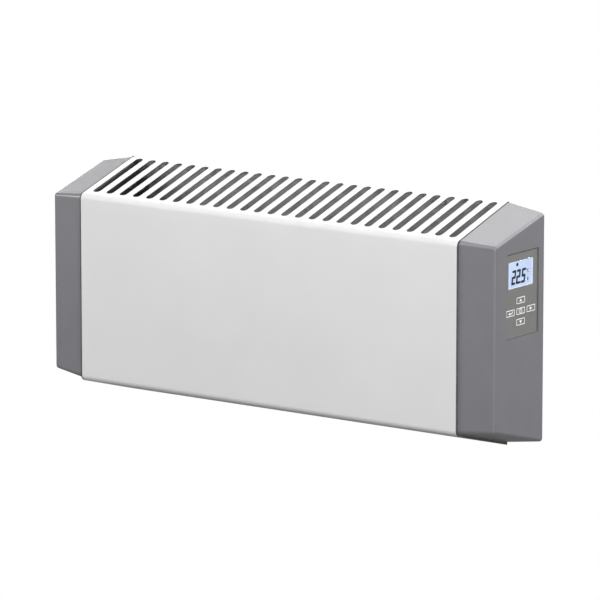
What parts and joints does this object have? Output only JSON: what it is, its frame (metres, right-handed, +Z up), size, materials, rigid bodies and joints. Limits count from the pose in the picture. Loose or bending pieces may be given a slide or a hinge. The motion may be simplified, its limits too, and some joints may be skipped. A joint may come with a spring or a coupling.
{
  "type": "fan convector heater",
  "caption": "Low wall-mounted fan convector heater: folded white steel casing with a slotted outlet on top, tapered grey end caps, a side display with keys, and a hook-on wall bracket.",
  "frame": {"origin": "on the wall plane, at the middle of the wall bracket's rear face, midway along the casing and at half its height", "axes": "+X towards the control side, +Y into the wall, +Z up; the front faces -Y"},
  "size_m": [0.5205, 0.09, 0.237],
  "materials": {
    "white_powder_coat": "satin fine-textured powder coat",
    "grey_plastic": "satin moulded ABS with a fine spark-eroded texture",
    "galvanised_steel": "bright zinc-coated sheet",
    "fascia_film": "matt printed polycarbonate film",
    "key_film": "matt film with a light printed outline and symbol",
    "clear_lens": "clear polished lens",
    "display_backlight": "pale blue back-lit liquid crystal display",
    "circuit_board": "green solder mask",
    "silicone": "matt silicone",
    "aluminium": "mill finish",
    "zinc_plated_steel": "bright zinc plate",
    "lamination_steel": "stacked electrical steel sheets, varnished",
    "copper_winding": "enamelled copper wire under tape",
    "bronze": "sintered oil-filled bush",
    "black_enamel": "satin black stove enamel",
    "black_plastic": "satin",
    "black_rubber": "matt",
    "ceramic_insulation": "unglazed steatite"
  },
  "bodies": {
    "bracket": {"wall_bracket": "galvanised_steel"},
    "heater": {"front_casing": "white_powder_coat", "back_plate": "galvanised_steel", "left_end_cap": "grey_plastic", "right_end_cap": "grey_plastic", "left_bulkhead": "black_enamel", "right_bulkhead": "black_enamel", "left_cap_seal": "black_rubber", "right_cap_seal": "black_rubber", "control_fascia": "fascia_film", "display_window": "clear_lens", "display_module": "display_backlight", "control_board": "circuit_board", "key_mat": "silicone", "fan_housing": "galvanised_steel", "fan_tongue": "galvanised_steel", "bearing_cushion": "black_rubber", "bearing_bush": "bronze", "motor_stator": "lamination_steel", "motor_coil": "copper_winding", "motor_front_bracket": "galvanised_steel", "motor_rear_bracket": "galvanised_steel", "heating_element": "aluminium", "element_holder_left": "ceramic_insulation", "element_holder_right": "ceramic_insulation", "thermal_cutout": "ceramic_insulation", "power_board": "circuit_board", "relay": "black_plastic", "triac_heatsink": "aluminium", "terminal_block": "ceramic_insulation", "cable_gland": "black_plastic", "air_sensor": "black_plastic", "bumper_left": "black_rubber", "bumper_right": "black_rubber", "casing_screw_1": "zinc_plated_steel", "casing_screw_2": "zinc_plated_steel", "casing_screw_3": "zinc_plated_steel", "casing_screw_4": "zinc_plated_steel", "bulkhead_screw_1": "zinc_plated_steel", "bulkhead_screw_2": "zinc_plated_steel", "bulkhead_screw_3": "zinc_plated_steel", "bulkhead_screw_4": "zinc_plated_steel", "housing_screw_1": "zinc_plated_steel", "housing_screw_2": "zinc_plated_steel", "cap_screw_1": "zinc_plated_steel", "cap_screw_2": "zinc_plated_steel", "cap_screw_3": "zinc_plated_steel", "cap_screw_4": "zinc_plated_steel", "board_screw_1": "zinc_plated_steel", "board_screw_2": "zinc_plated_steel", "motor_screw_1": "zinc_plated_steel", "motor_screw_2": "zinc_plated_steel"},
    "fan": {"fan_rotor": "aluminium", "motor_rotor": "aluminium", "shaft_coupling": "black_rubber"},
    "key_up": {"key_up": "key_film"},
    "key_down": {"key_down": "key_film"},
    "key_left": {"key_left": "key_film"},
    "key_right": {"key_right": "key_film"},
    "key_centre": {"key_centre": "key_film"}
  },
  "joints": [
    {"name": "lift_off", "type": "slide", "parent": "bracket", "child": "heater", "axis": [0, 0, 1], "range_m": [0, 0.013]},
    {"name": "fan_spin", "type": "hinge", "parent": "heater", "child": "fan", "pos_m": [0, -0.054, -0.056], "axis": [1, 0, 0], "continuous": true},
    {"name": "key_up_press", "type": "slide", "parent": "heater", "child": "key_up", "axis": [-0.9984, 0.0559, 0], "range_m": [0, 0.0005], "stiffness_N_per_m": 1500},
    {"name": "key_down_press", "type": "slide", "parent": "heater", "child": "key_down", "axis": [-0.9984, 0.0559, 0], "range_m": [0, 0.0005], "stiffness_N_per_m": 1500},
    {"name": "key_left_press", "type": "slide", "parent": "heater", "child": "key_left", "axis": [-0.9984, 0.0559, 0], "range_m": [0, 0.0005], "stiffness_N_per_m": 1500},
    {"name": "key_right_press", "type": "slide", "parent": "heater", "child": "key_right", "axis": [-0.9984, 0.0559, 0], "range_m": [0, 0.0005], "stiffness_N_per_m": 1500},
    {"name": "key_centre_press", "type": "slide", "parent": "heater", "child": "key_centre", "axis": [-0.9984, 0.0559, 0], "range_m": [0, 0.0005], "stiffness_N_per_m": 1500}
  ]
}
